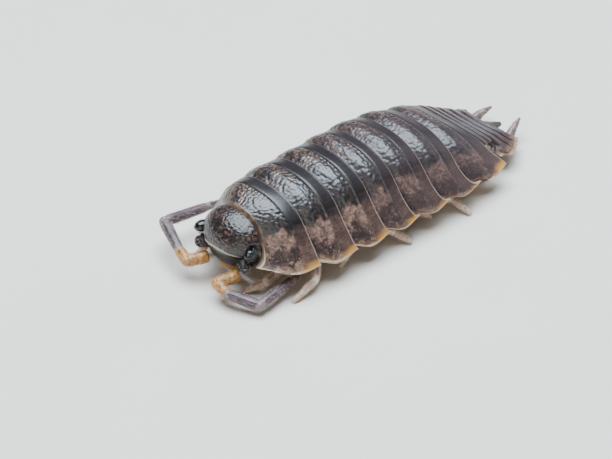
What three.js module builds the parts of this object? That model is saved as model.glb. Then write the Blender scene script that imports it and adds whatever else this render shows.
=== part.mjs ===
// A life-size woodlouse, 15 mm from the front of its head to the tip of its tail plate, in millimetres.
// It stands on its fourteen feet with its head towards -Y and its left side towards +X.
// Lengths along the body are measured backwards from a point 0.6 mm ahead of the head.
import * as THREE from "three";
import { mergeVertices } from "three/addons/utils/BufferGeometryUtils.js";

const middleLength = 7.8; // the place along the body that lies over the origin
const gap = 0.12; // clearance between neighbouring pieces
const overlap = 0.34; // how far a trunk plate covers the next one
const trunkLip = 0.18; // thickness of a trunk plate's rear lip
const plateEdge = 0.24; // thickness of a plate at its side margin
const archPower = 2.67; // roundness of the back's arch
const flare = 0.05; // hollow above the side margins, as a share of the arch's height
const hollowRise = 0.75; // height of the hollow between the belly and a side plate

// Stations along the body: half width, height of the crown, of the side margin and of the belly,
// and how far the side margin lies behind the crown.
const stations = [
  { y: 1.85, half: 1.66, crown: 3.12, margin: 1.5, belly: 1.25, sweep: -0.72 },
  { y: 2.5, half: 2.42, crown: 3.33, margin: 1.26, belly: 1.2, sweep: -0.42 },
  { y: 3.3, half: 2.78, crown: 3.44, margin: 1.12, belly: 1.18, sweep: 0 },
  { y: 5.0, half: 2.89, crown: 3.45, margin: 1.0, belly: 1.18, sweep: 0.17 },
  { y: 7.8, half: 2.98, crown: 3.37, margin: 1.0, belly: 1.18, sweep: 0.47 },
  { y: 9.2, half: 3.03, crown: 3.22, margin: 1.0, belly: 1.18, sweep: 0.6 },
  { y: 10.8, half: 3.0, crown: 2.8, margin: 0.97, belly: 1.15, sweep: 0.74 },
  { y: 12.33, half: 2.73, crown: 2.12, margin: 0.88, belly: 1.0, sweep: 0.8 },
  { y: 13.5, half: 2.14, crown: 1.5, margin: 0.68, belly: 0.78, sweep: 0.72 },
  { y: 14.5, half: 1.42, crown: 1.0, margin: 0.52, belly: 0.55, sweep: 0.6 },
];

// Rings of the trunk, each with its pair of legs, and of the tail.
const trunkLengths = [1.45, 1.66, 1.49, 1.34, 1.45, 1.56, 1.53];
const tailLengths = [0.37, 0.37, 0.44, 0.46, 0.48];
const tailOverlap = 0.12;
const tailLip = 0.12;
const tailReach = 0.7; // the first two tail rings end at this share of the arch

const colours = {
  shell: { color: "#3d2f2c", roughness: 0.42 },
  head: { color: "#2b2321", roughness: 0.4 },
  eye: { color: "#0b0d0f", roughness: 0.2 },
  feeler: { color: "#7a5f66", roughness: 0.55 },
  leg: { color: "#b3937f", roughness: 0.55 },
  tailFork: { color: "#765d5a", roughness: 0.5 },
  gill: { color: "#cdbfa8", roughness: 0.6 },
};
const materials = Object.fromEntries(
  Object.entries(colours).map(([name, look]) => [
    name,
    new THREE.MeshStandardMaterial({ metalness: 0, ...look }),
  ]),
);

const clamp01 = (t) => Math.min(1, Math.max(0, t));
const mix = (a, b, t) => a + (b - a) * t;
const smooth = (a, b, t) => {
  const s = clamp01((t - a) / (b - a));
  return s * s * (3 - 2 * s);
};

// The value of one column of the stations at y, on a smooth curve through them.
function along(column, y) {
  const last = stations.length - 1;
  let i = stations.findIndex((s) => s.y > y) - 1;
  if (i < 0) i = y < stations[0].y ? 0 : last - 1;
  const [p, q] = [stations[i], stations[i + 1]];
  const slope = (k) => {
    const [a, b] = [stations[Math.max(0, k - 1)], stations[Math.min(last, k + 1)]];
    return (b[column] - a[column]) / (b.y - a.y);
  };
  const span = q.y - p.y;
  const t = (y - p.y) / span;
  const [t2, t3] = [t * t, t * t * t];
  return (
    (2 * t3 - 3 * t2 + 1) * p[column] +
    (t3 - 2 * t2 + t) * span * slope(i) +
    (-2 * t3 + 3 * t2) * q[column] +
    (t3 - t2) * span * slope(i + 1)
  );
}

// How a ring's rear margin turns back towards its corner, u from 0 at the crown to 1 at the side.
const trunkSweep = (u) => ((2 / Math.PI) * Math.asin(clamp01(u))) ** 4.2;
const tailSweep = (u) => u ** 2.2;

// A point of a ring at share f of its length and u across it, on an arch drawn in by depth all round.
function ringPoint(ring, u, f, depth) {
  const y = mix(ring.front - ring.tuckLength, ring.rear, f);
  const half = along("half", y) - ring.inset(f) - ring.drawnIn * Math.max(0, depth);
  const [margin, crown] = [along("margin", y), along("crown", y) - depth];
  const a = Math.abs(u);
  const hollow = flare * Math.sin(Math.PI * clamp01((a - 0.6) / 0.4)) ** 2;
  const z = margin + (crown - margin) * (1 - a ** archPower - hollow);
  const swept = along("sweep", y) * ring.sweepShare(a, f);
  const lobe = ring.lobe * smooth(0.8, 0.9, a) * (1 - f);
  return new THREE.Vector3(half * u, y + swept - lobe, z);
}

// One ring: a plate over a block of body, whose rear lip covers the front of the next ring.
function ringGeometry(ring, columns, rows) {
  const length = ring.rear - ring.front + ring.tuckLength;
  const root = 1 - (ring.lipLength + gap) / length; // where the lip leaves the block
  const covered = ring.tuckLength / length;
  const depth = (f) => {
    const risen = smooth(covered, Math.min(covered + ring.rise, root), f);
    return ring.tuck * (1 - risen) - 0.05 * Math.sin(Math.PI * clamp01((f - covered) / (1 - covered)));
  };
  const under = (f, u) => {
    const inner = ringPoint(ring, u, f, depth(f) + plateEdge);
    const belly = along("belly", mix(ring.front, ring.rear, f));
    inner.z = Math.min(inner.z, belly + hollowRise * smooth(0.52, 0.85, Math.abs(u)));
    return inner;
  };
  const sections = [];
  for (let c = 0; c <= columns; c++) {
    const u = ring.reach * Math.sin((Math.PI / 2) * ((2 * c) / columns - 1));
    const section = [under(0, u)];
    for (let r = 0; r <= rows; r++) section.push(ringPoint(ring, u, r / rows, depth(r / rows)));
    section.push(ringPoint(ring, u, 1, depth(1) + ring.lip));
    section.push(ringPoint(ring, u, root, depth(root) + ring.lip));
    section.push(under(root, u));
    section.push(under(mix(covered, root, 0.35), u));
    if (covered) section.push(under(covered * 0.9, u));
    sections.push(section);
  }
  return loft(sections);
}

// The triangles that close the end of a loft, turned as the section runs.
function capFaces(section) {
  const normal = new THREE.Vector3();
  section.forEach((p, k) => normal.add(p.clone().cross(section[(k + 1) % section.length])));
  const [ax, ay, az] = normal.toArray().map(Math.abs);
  const [i, j] = az >= ax && az >= ay ? [0, 1] : ay >= ax ? [2, 0] : [1, 2];
  const flat = section.map((p) => new THREE.Vector2(p.getComponent(i), p.getComponent(j)));
  const faces = THREE.ShapeUtils.triangulateShape(flat, []);
  const [a, b, c] = faces[0].map((k) => flat[k]);
  const ccw = b.clone().sub(a).cross(c.clone().sub(a)) > 0;
  return ccw === !THREE.ShapeUtils.isClockWise(flat) ? faces : faces.map((f) => [...f].reverse());
}

// A closed body through sections that all have the same number of points.
function loft(sections) {
  const count = sections[0].length;
  const points = sections.flat();
  const faces = [];
  for (let s = 0; s + 1 < sections.length; s++)
    for (let k = 0; k < count; k++) {
      const [a, b] = [s * count + k, s * count + ((k + 1) % count)];
      faces.push(a, b, a + count, b, b + count, a + count);
    }
  for (const [s, turned] of [
    [0, false],
    [sections.length - 1, true],
  ])
    for (const [a, b, c] of capFaces(sections[s]))
      faces.push(s * count + a, s * count + (turned ? b : c), s * count + (turned ? c : b));
  const geometry = new THREE.BufferGeometry().setFromPoints(points);
  geometry.setIndex(faces);
  return facingOut(geometry);
}

// Turns every face the other way where the faces point inwards.
function facingOut(geometry) {
  const index = geometry.index.array;
  const at = (i) => new THREE.Vector3().fromBufferAttribute(geometry.attributes.position, index[i]);
  let volume = 0;
  for (let i = 0; i < index.length; i += 3) volume += at(i).dot(at(i + 1).cross(at(i + 2)));
  if (volume < 0)
    for (let i = 0; i < index.length; i += 3) [index[i + 1], index[i + 2]] = [index[i + 2], index[i + 1]];
  return geometry;
}

// An ellipsoid at a place, with its three half sizes, turned about X and then Z.
function ellipsoid(centre, radii, { tilt = 0, turn = 0, across = 18, down = 12 } = {}) {
  const geometry = new THREE.SphereGeometry(1, across, down);
  geometry.rotateX(Math.PI / 2);
  geometry.scale(...radii);
  geometry.rotateX(THREE.MathUtils.degToRad(tilt));
  geometry.rotateZ(THREE.MathUtils.degToRad(turn));
  return geometry.translate(...centre);
}

// A chain of straight articles, mitred and waisted at its joints, with its underside flat on the floor.
function limb(places, radii, { sides = 8, waist = 0.84 } = {}) {
  const joints = places.map((p) => new THREE.Vector3(...p));
  const last = joints.length - 1;
  const ways = joints.slice(1).map((p, i) => p.clone().sub(joints[i]).normalize());
  let normal = new THREE.Vector3(0, 0, 1).cross(ways[0]);
  if (normal.length() < 0.1) normal.set(1, 0, 0);
  normal.normalize();
  const sections = [];
  const ring = (centre, way, radius, plane) => {
    const binormal = way.clone().cross(normal);
    const section = [];
    for (let k = 0; k < sides; k++) {
      const angle = (2 * Math.PI * k) / sides;
      const p = normal
        .clone()
        .multiplyScalar(radius * Math.cos(angle))
        .addScaledVector(binormal, radius * Math.sin(angle));
      p.addScaledVector(way, -p.dot(plane) / way.dot(plane)).add(centre);
      p.z = Math.max(0, p.z);
      section.push(p);
    }
    sections.push(section);
  };
  const planes = joints.map((_, i) => {
    const before = ways[Math.max(0, i - 1)];
    return before.clone().add(ways[Math.min(last - 1, i)]).normalize();
  });
  const room = (i, radius) => radius * Math.tan(Math.acos(Math.min(1, ways[Math.min(last - 1, i)].dot(planes[i]))));
  ring(joints[0], ways[0], radii[0], planes[0]);
  ways.forEach((way, i) => {
    const length = joints[i].distanceTo(joints[i + 1]);
    for (const s of [0.15, 0.6, 0.88]) {
      const radius = mix(radii[i], radii[i + 1], s) * (s > 0.5 ? 1.04 : 1);
      if (s * length < 1.15 * room(i, radius) || (1 - s) * length < 1.15 * room(i + 1, radius)) continue;
      ring(joints[i].clone().lerp(joints[i + 1], s), way, radius, way);
    }
    ring(joints[i + 1], way, radii[i + 1] * (i + 1 < last ? waist : 1), planes[i + 1]);
    if (i + 1 < last) normal.applyQuaternion(new THREE.Quaternion().setFromUnitVectors(way, ways[i + 1]));
  });
  return loft(sections);
}

const woodlouse = new THREE.Group();
woodlouse.name = "woodlouse";
woodlouse.position.y = -middleLength;

function addPiece(name, geometry, material) {
  const mesh = new THREE.Mesh(geometry, materials[material]);
  mesh.name = name;
  woodlouse.add(mesh);
}

// Trunk and tail rings, from front to back.
let rear = stations[0].y;
const trunkRing = {
  reach: 1, // share of the arch that the ring spans
  drawnIn: 1, // how much of a tucked front's depth also narrows it
  lobe: 0, // how far the front corner reaches forwards
  tuck: 0, // depth of the front part that lies under the ring ahead
  tuckLength: 0,
  lip: trunkLip,
  lipLength: overlap,
  rise: 0.34, // share of the length over which the surface rises from its tuck
  sweepShare: trunkSweep,
};
const lastTrunkRing = {
  lipLength: tailOverlap + 0.04,
  sweepShare: (u, f) => mix(trunkSweep(u), tailSweep(u), smooth(0.2, 1, f)),
};
const tailRing = { ...trunkRing, lip: tailLip, rise: 0.5, sweepShare: tailSweep };
Object.assign(tailRing, { tuckLength: tailOverlap, lipLength: tailOverlap });
trunkLengths.forEach((length, i) => {
  const front = rear;
  rear += length;
  const narrowing = i ? 0.08 : 0; // the front corner hides under the plate ahead
  const inset = (f) => narrowing * (1 - smooth(0.12, 0.5, f)) - 0.06 * Math.sin(Math.PI * clamp01((f - 0.15) / 0.85));
  const ring = { ...trunkRing, front, rear, inset };
  if (i) Object.assign(ring, { tuck: trunkLip + gap, tuckLength: overlap });
  if (i === trunkLengths.length - 1) Object.assign(ring, lastTrunkRing);
  addPiece(`trunk_ring_${i + 1}`, ringGeometry(ring, 24, 6), "shell");
});
tailLengths.forEach((length, i) => {
  const front = rear;
  rear += length;
  const narrow = i < 2;
  const inset = (f) => 0.05 * (1 - smooth(0.2, 0.6, f));
  const ring = { ...tailRing, front, rear, inset, tuck: (i ? tailLip : trunkLip) + gap };
  if (narrow) Object.assign(ring, { reach: tailReach, drawnIn: 0.6 });
  if (i === 2) ring.lobe = 0.3;
  addPiece(`tail_ring_${i + 1}`, ringGeometry(ring, narrow ? 12 : 20, 4), "shell");
});

// Tail plate: a triangular plate with a drawn-out tip.
const tailPlate = { front: rear + 0.1, half: 0.7, length: 1.0, height: 0.86, tip: 0.42 };
const plateRows = 7;
const plateSections = [];
for (let r = 0; r <= plateRows; r++) {
  const f = r / plateRows;
  const half = mix(tailPlate.half, 0.1, f ** 0.62);
  const crown = mix(tailPlate.height, tailPlate.tip, f);
  const rise = mix(0.26, 0.08, f);
  const y = tailPlate.front + tailPlate.length * f;
  const section = [];
  for (let k = 0; k <= 8; k++) {
    const u = k / 4 - 1;
    section.push(new THREE.Vector3(half * u, y, crown - rise * u * u));
  }
  for (const u of [1, 0, -1]) section.push(new THREE.Vector3(half * u, y, crown - rise - 0.2));
  plateSections.push(section);
}
addPiece("tail_plate", loft(plateSections), "shell");

// Gill covers: one pad with a groove down its middle and steps across it, under the tail.
const gillPad = { front: 12.35, rear: 14.3, half: 0.98, height: 0.36, depth: 0.3 };
const gillSections = [];
for (let r = 0; r <= 9; r++) {
  const f = r / 9;
  const y = mix(gillPad.front, gillPad.rear, f);
  const half = gillPad.half * mix(1, 0.55, f) * mix(0.75, 1, Math.sin(Math.PI * clamp01(f * 4 % 1)));
  const top = along("belly", y) - gap - 0.04;
  const section = [];
  for (let k = 0; k < 12; k++) {
    const angle = (2 * Math.PI * (k + 0.5)) / 12;
    const drop = 0.5 * gillPad.depth * (1 - Math.sin(angle)) * (0.75 + 0.25 * Math.abs(Math.cos(angle)));
    section.push(new THREE.Vector3(half * Math.cos(angle), y, top - drop));
  }
  gillSections.push(section);
}
addPiece("gill_covers", loft(gillSections), "gill");

// Head: a rounded block with a lobe in front, one before each eye, and the mouth parts below.
const headHeart = new THREE.Vector3(0, 1.22, 1.8);
const eye = { centre: [1.33, 1.12, 1.98], radii: [0.22, 0.33, 0.23], turn: 18 };
const headForms = [
  { centre: [0, 1.7, 2.02], radii: [1.46, 1.12, 1.06] },
  { centre: [0, 1.5, 1.45], radii: [1.2, 0.78, 0.5] },
  { centre: [0, 0.84, 1.86], radii: [0.72, 0.26, 0.2] },
  { centre: [1.2, 0.95, 1.46], radii: [0.27, 0.3, 0.26] },
  { centre: [-1.2, 0.95, 1.46], radii: [0.27, 0.3, 0.26] },
  { centre: [0, 1.35, 1.02], radii: [0.62, 0.46, 0.36] },
].map(({ centre, radii }) => ({
  centre: new THREE.Vector3(...centre),
  radii: new THREE.Vector3(...radii),
}));

// How far a ray from the heart of the head runs before it leaves a form.
function exitLength(direction, { centre, radii }, grown = 0) {
  const r = radii.clone().addScalar(grown);
  const d = direction.clone().divide(r);
  const o = headHeart.clone().sub(centre).divide(r);
  const [a, b, c] = [d.dot(d), d.dot(o), o.dot(o) - 1];
  const root = b * b - a * c;
  return root > 0 ? Math.max(0, (Math.sqrt(root) - b) / a) : 0;
}

const headShape = new THREE.SphereGeometry(1, 44, 28);
headShape.rotateZ(Math.PI / 2);
headShape.deleteAttribute("uv");
headShape.deleteAttribute("normal");
const headGeometry = facingOut(mergeVertices(headShape, 1e-4));
const socketForms = [1, -1].map((sign) => ({
  centre: new THREE.Vector3(sign * eye.centre[0], eye.centre[1], eye.centre[2]),
  radii: new THREE.Vector3(...eye.radii),
}));
const headPoints = headGeometry.attributes.position;
for (let i = 0; i < headPoints.count; i++) {
  const direction = new THREE.Vector3().fromBufferAttribute(headPoints, i).normalize();
  const lengths = headForms.map((form) => exitLength(direction, form));
  let reach = lengths.reduce((sum, t) => sum + t ** 20, 0) ** (1 / 20);
  for (const socket of socketForms) {
    const toEye = socket.centre.clone().sub(headHeart);
    const near = smooth(0.93, 0.985, direction.dot(toEye.clone().normalize()));
    reach = mix(reach, Math.min(reach, toEye.length() - 0.33), near);
  }
  for (let pass = 0; pass < 6 && direction.y > 0; pass++) {
    const u = clamp01(Math.abs(direction.x * reach) / stations[0].half);
    const wall = stations[0].y + stations[0].sweep * trunkSweep(u) - 1.6 * gap - 0.18 * u ** 3;
    reach = Math.min(reach, Math.max(0.2, (wall - headHeart.y) / direction.y));
  }
  headPoints.setXYZ(i, ...headHeart.clone().addScaledVector(direction, reach));
}
addPiece("head", headGeometry, "head");
for (const [side, sign] of [
  ["left", 1],
  ["right", -1],
]) {
  const centre = [sign * eye.centre[0], eye.centre[1], eye.centre[2]];
  const shape = ellipsoid(centre, eye.radii, { turn: sign * eye.turn, across: 14, down: 10 });
  addPiece(`eye_${side}`, shape, "eye");
}

// Feelers: a thick base, two long articles and a whip, folded back along the sides.
const feelers = {
  left: [
    [0.86, 0.94, 0.94], [0.7, 0.55, 0.86], [0.46, 0.16, 0.74], [1.1, 0.1, 0.62],
    [2.3, 0.62, 0.4], [2.1, 2.5, 0.54], [1.9, 3.15, 0.56],
  ],
  right: [
    [-0.86, 0.94, 0.94], [-1.06, 0.56, 0.9], [-1.26, 0.2, 0.88], [-1.85, 0.36, 0.98],
    [-3.4, 0.98, 1.22], [-3.22, 3.0, 1.0], [-3.24, 4.0, 0.82],
  ],
};
const feelerRadii = [0.26, 0.26, 0.25, 0.25, 0.25, 0.2, 0.08];
for (const [side, places] of Object.entries(feelers))
  addPiece(`feeler_${side}`, limb(places, feelerRadii), "feeler");

// Legs: how far sideways and back the knee and the foot of each stand from its hip.
const legs = {
  left: [
    { knee: [0.35, -0.7], foot: [-0.4, -1.5] },
    { knee: [1.42, -0.8], foot: [1.4, -2.15] },
    { knee: [0.9, -0.3], foot: [1.05, -1.0] },
    { knee: [1.1, 0.1], foot: [1.8, 0.6] },
    { knee: [0.9, 0.35], foot: [1.15, 0.85] },
    { knee: [1.1, 0.3], foot: [2.05, 0.6] },
    { knee: [0.6, 0.55], foot: [0.75, 1.3] },
  ],
  right: [
    { knee: [0.75, -0.55], foot: [0.8, -1.3] },
    { knee: [1.0, -0.5], foot: [1.4, -1.1] },
    { knee: [1.0, -0.25], foot: [1.5, -0.7] },
    { knee: [1.05, 0.1], foot: [1.7, 0.3] },
    { knee: [1.0, 0.3], foot: [1.6, 0.8] },
    { knee: [0.95, 0.4], foot: [1.4, 1.1] },
    { knee: [0.65, 0.55], foot: [0.9, 1.4] },
  ],
};
const hipSpread = 1.25;
const footRadius = 0.13;
let hipPlace = stations[0].y;
trunkLengths.forEach((length, i) => {
  const y = hipPlace + 0.5 * length;
  hipPlace += length;
  const hipRise = along("belly", y) - gap;
  for (const [side, sign] of [
    ["left", 1],
    ["right", -1],
  ]) {
    const { knee, foot } = legs[side][i];
    const kneeRise = i < 6 ? 0.56 : 0.42;
    const place = (out, back, z) => [sign * (hipSpread + out), y + back, z];
    const places = [
      place(0, 0, hipRise),
      place(0.1, 0, 0.72),
      place(knee[0] * 0.62, knee[1] * 0.62, kneeRise + 0.06),
      place(mix(knee[0], foot[0], 0.2), mix(knee[1], foot[1], 0.2), kneeRise - 0.06),
      place(mix(knee[0], foot[0], 0.65), mix(knee[1], foot[1], 0.65), 0.26),
      place(foot[0], foot[1], footRadius - 0.03),
    ];
    addPiece(`leg_${side}_${i + 1}`, limb(places, [0.25, 0.26, 0.26, 0.25, 0.19, footRadius]), "leg");
  }
});

// Tail forks: a spear-shaped branch at each side of the tail plate.
for (const [side, sign, lift] of [
  ["left", 1, 0.2],
  ["right", -1, 0.0],
]) {
  const places = [
    [sign * 0.94, 14.7, 0.21],
    [sign * 0.96, 15.02, 0.34],
    [sign * 0.88, 15.4, 0.5 + lift * 0.5],
    [sign * 0.78, 15.85, 0.62 + lift],
  ];
  addPiece(`tail_fork_${side}`, limb(places, [0.2, 0.22, 0.18, 0.06]), "tailFork");
}

export default woodlouse;
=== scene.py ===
import bpy
import math
import numpy as np
from mathutils import Matrix, Vector


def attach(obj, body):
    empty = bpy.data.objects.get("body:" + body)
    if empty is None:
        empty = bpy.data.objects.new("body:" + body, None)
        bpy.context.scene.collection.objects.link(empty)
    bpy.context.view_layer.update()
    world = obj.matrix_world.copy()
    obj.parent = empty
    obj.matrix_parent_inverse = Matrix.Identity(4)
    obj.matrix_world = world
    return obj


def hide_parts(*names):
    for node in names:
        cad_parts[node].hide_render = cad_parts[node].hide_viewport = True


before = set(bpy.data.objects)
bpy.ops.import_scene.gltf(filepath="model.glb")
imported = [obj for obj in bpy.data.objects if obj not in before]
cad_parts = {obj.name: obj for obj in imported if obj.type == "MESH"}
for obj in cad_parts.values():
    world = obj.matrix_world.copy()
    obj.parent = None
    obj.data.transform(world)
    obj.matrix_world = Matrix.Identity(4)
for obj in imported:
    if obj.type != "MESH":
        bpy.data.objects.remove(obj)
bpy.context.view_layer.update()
mm = 0.001
rng = np.random.default_rng(7)  # places the bristles


# A small wrapper for shader maths: an expression on wires adds its nodes.

class Wire:
    def __init__(self, finish, socket):
        self.finish, self.socket = finish, socket

    def math(self, operation, *others):
        return self.finish.node("ShaderNodeMath", {"operation": operation}, dict(enumerate((self, *others))))

    def __add__(self, other):
        return self.math("ADD", other)

    def __mul__(self, other):
        return self.math("MULTIPLY", other)

    def __sub__(self, other):
        return self.math("SUBTRACT", other)

    def __rsub__(self, other):  # as in 1 - mask
        return self.math("MULTIPLY", -1).math("ADD", other)

    def __abs__(self):
        return self.math("ABSOLUTE")

    __radd__ = __add__
    __rmul__ = __mul__

    def smooth(self, low, high):  # 0 below low, 1 above high
        inputs = {"Value": self, "From Min": low, "From Max": high}
        return self.finish.node("ShaderNodeMapRange", {"interpolation_type": "SMOOTHSTEP"}, inputs)

    def below(self, low, high):  # 1 below low, 0 above high
        return 1 - self.smooth(low, high)

    def band(self, low, high, soft):  # 1 between low and high
        return self.smooth(low - soft, low + soft) * self.below(high - soft, high + soft)


class Finish:
    def __init__(self, name, **fixed):
        self.material = bpy.data.materials.new(name)
        self.material.use_nodes = True
        self.tree = self.material.node_tree
        self.shader = self.tree.nodes["Principled BSDF"]
        self.wear(**fixed)
        self.coords = self.node("ShaderNodeTexCoord", {}, {}, "Object")

    def node(self, kind, settings, inputs, output=0):  # sockets go by name or number
        node = self.tree.nodes.new(kind)
        for key, value in settings.items():
            setattr(node, key, value)
        for key, value in inputs.items():
            self.plug(node.inputs[key], value)
        return Wire(self, node.outputs[output])

    def plug(self, slot, value):
        if isinstance(value, Wire):
            self.tree.links.new(value.socket, slot)
        else:
            slot.default_value = value

    def noise(self, size, detail=3, roughness=0.55, distortion=0.0):  # size in mm
        return self.node("ShaderNodeTexNoise", {}, {
            "Vector": self.coords, "Scale": 1000 / size, "Detail": detail, "Roughness": roughness,
            "Distortion": distortion}, "Fac")

    def streaks(self, x, y):  # flat noise drawn out along fields of the mesh
        flat = self.node("ShaderNodeCombineXYZ", {}, {"X": x, "Y": y})
        inputs = {"Scale": 1.0, "Detail": 3.0, "Vector": flat}
        return self.node("ShaderNodeTexNoise", {"noise_dimensions": "2D"}, inputs, "Fac")

    def field(self, name):
        return self.node("ShaderNodeAttribute", {"attribute_name": name}, {}, "Fac")

    def mix(self, share, low, high):  # sockets 6 and 7 and output 2 are the Mix node's colours
        inputs = {0: share, 6: colour(low), 7: colour(high)}
        return self.node("ShaderNodeMix", {"data_type": "RGBA"}, inputs, 2)

    def bump(self, height, distance):  # distance in mm
        return self.node("ShaderNodeBump", {}, {"Distance": distance * mm, "Height": height})

    def wear(self, **sockets):
        for key, value in sockets.items():
            self.plug(self.shader.inputs[key.replace("_", " ")], value)
        return self.material


def colour(value):  # "#rrggbb" to linear light
    if not isinstance(value, str):
        return value
    parts = [int(value[i:i + 2], 16) / 255 for i in (1, 3, 5)]
    return (*[c / 12.92 if c < 0.04 else ((c + 0.055) / 1.055) ** 2.4 for c in parts], 1)


# Finishes. The shell is painted by the plates' own fields: across is 0 on the middle line and 1 at the
# side margin, along is 0 at the plate's front and 1 at its rear rim, edge is mm from the free margin.

shellPaint = dict(
    # the near-black third colour is painted shade for the gaps between the beads
    middle=("#060507", "#171113"), flecks=("#50352c", "#8d6a59"), gapShade="#060506",
    patch=("#65493c", "#a38577"), plate=("#170f10", "#382725"),
    band=("#0c090b", "#261c20"), bandSide=("#2a1d1c", "#5f483d"),
    tail=("#241b1e", "#392c2e"), tailBloom="#4b3c41",
    margin=("#4f382d", "#93745d"), rim=("#97795c", "#cdb594"), corner=("#96631a", "#c98f2c"),
    trim="#98837a", tailTrim="#8a6b58", underneath=("#8f7a68", "#c4b19a"),
    # each noise is its size in mm, detail, roughness and distortion
    fine=(0.11, 4, 0.6, 0.6), clouds=(0.8, 3), worms=(0.21, 5, 0.6, 1.8), blots=(0.34, 4, 0.6, 0.8),
    wobble=(0.5, 4), pores=(0.05, 2), poreDepth=0.01, wobbleReach=0.22, streaksAcross=120, streaksAlong=3,
    # zones by the plates' own fields
    middleEnds=(0.47, 0.53), patchAcross=(0.5, 0.61), patchAlong=(0.0, 0.68),
    mottleAcross=(0.64, 0.84), mottleAlong=(0.06, 0.7), grainEnds=(0.58, 0.7), bandStarts=(0.62, 0.72),
    marginEdge=(0.2, 0.45), rimEdge=(0.08, 0.15), cornerAlong=(0.5, 0.85), trimAlong=(0.972, 0.984),
    glossFades=(0.42, 0.6), tailFrom=(0.7, 0.8),
)


def shellFinish(paint=shellPaint):
    f = Finish("shell", Coat_Roughness=0.32, Coat_IOR=1.55, Specular_IOR_Level=0.28,
               Subsurface_Weight=0.05, Subsurface_Radius=(0.0006, 0.0003, 0.0002))
    side, along, edge = f.field("across"), f.field("along"), f.field("edge")
    across, grain, grey, under = abs(side), f.field("grain"), f.field("grey"), f.field("under")
    fine, clouds = f.noise(*paint["fine"]), f.noise(*paint["clouds"])
    worms, blots = f.noise(*paint["worms"]), f.noise(*paint["blots"])
    wobble = (f.noise(*paint["wobble"]) - 0.5) * paint["wobbleReach"]
    roughAcross, roughAlong = across + wobble, along + wobble * 0.7  # zones end in uneven lines
    isTail = grey.smooth(*paint["tailFrom"])

    # the blackish middle, its flecks shown on the flank away from the light
    farSide = 0.15 + 0.85 * (0.1 - side).smooth(-0.15, 0.25)
    flecks = worms.smooth(0.49, 0.57) * along.below(*paint["grainEnds"]) * farSide * clouds.smooth(0.3, 0.5)
    middle = f.mix(fine.smooth(0.35, 0.75), *paint["middle"])
    middle = f.mix(flecks * 0.85, middle, f.mix(fine, *paint["flecks"]))

    # the side plate: dark clouds on buff, and a buff patch next to the middle
    patch = f.mix(fine.smooth(0.3, 0.8), *paint["patch"])
    plate = f.mix(fine, *paint["plate"])
    flank = f.mix(blots.smooth(0.46, 0.6), plate, patch)
    mottled = roughAcross.band(*paint["mottleAcross"], 0.05) * roughAlong.band(*paint["mottleAlong"], 0.1)
    mottled *= clouds.smooth(0.25, 0.5)
    flank = f.mix(mottled * 0.8, flank, f.mix(worms.smooth(0.55, 0.66), plate, patch))
    patched = roughAcross.band(*paint["patchAcross"], 0.04) * roughAlong.band(*paint["patchAlong"], 0.12)
    flank = f.mix(patched * (0.5 + 0.4 * blots.smooth(0.4, 0.6)), flank, patch)
    flank = f.mix(grey * 0.8, flank, plate)
    base = f.mix(roughAcross.smooth(*paint["middleEnds"]), middle, flank)
    # painted shade: near black in the gaps between the beads, where the bead grain is low
    gapShade = grain.below(0.02, 0.3) * 0.5 * along.below(0.6, 0.68)
    base = f.mix(gapShade, base, paint["gapShade"])

    # the smooth rear band, streaked along the body
    streaks = f.streaks(side * paint["streaksAcross"], along * paint["streaksAlong"])
    band = along.smooth(*paint["bandStarts"])
    bandSide = f.mix(streaks.smooth(0.2, 0.8) * 0.6 + blots * 0.4, *paint["bandSide"])
    bandSkin = f.mix(streaks.smooth(0.3, 0.75), *paint["band"])
    bandSkin = f.mix((across + wobble * 0.5).smooth(0.42, 0.66), bandSkin, bandSide)
    base = f.mix(band * 0.85, base, bandSkin)
    tailSkin = f.mix(fine, f.mix(streaks, *paint["tail"]), paint["tailBloom"])
    base = f.mix(grey * (0.55 + 0.45 * clouds), base, tailSkin)

    # the free margins: a lighter seam, a pale rim, an ochre rear corner and a fine rear trim
    seam = f.mix(blots.smooth(0.35, 0.65), *paint["margin"])
    base = f.mix(edge.below(*paint["marginEdge"]) * 0.6, base, seam)
    base = f.mix(edge.below(*paint["rimEdge"]) * (0.95 - 0.5 * grey), base, f.mix(fine, *paint["rim"]))
    corner = along.smooth(*paint["cornerAlong"]) * edge.below(0.14, 0.34) * edge.smooth(0.02, 0.1)
    base = f.mix(corner * (1 - isTail) * 0.85, base, f.mix(fine, *paint["corner"]))
    trim = along.smooth(*paint["trimAlong"]) * (0.2 + 0.55 * across.smooth(0.3, 0.6))
    base = f.mix(trim, base, f.mix(isTail, paint["trim"], paint["tailTrim"]))
    base = f.mix(under, base, f.mix(clouds, *paint["underneath"]))

    flankShare = roughAcross.smooth(*paint["glossFades"])
    rough = 0.34 + 0.14 * fine + 0.12 * grey + 0.1 * under + 0.12 * flankShare
    gloss = (0.95 - 0.5 * band) * (1 - 0.8 * flankShare) * (1 - 0.5 * grey) * (1 - under)
    height = f.noise(*paint["pores"]) * 0.5 + 0.5 * fine + band * streaks * 0.5
    pores = f.bump(height, paint["poreDepth"])
    return f.wear(Base_Color=base, Roughness=rough, Coat_Weight=gloss, Normal=pores)


headPaint = dict(
    # the near-black third colour is painted shade where the bead grain is low
    skull=("#050405", "#151011"), flecks=("#432b24", "#7d5a4c"), gapShade="#050405", face=("#090607", "#241917"),
    frontLine=("#8e8576", "#d2c9b6"), lobe=("#1b1517", "#a99b92"), mouth=("#6f4a28", "#b98a52"),
    fine=(0.1, 4, 0.6, 0.5), worms=(0.19, 5, 0.62, 1.8), pores=(0.05, 2), poreDepth=0.01,
)


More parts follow.
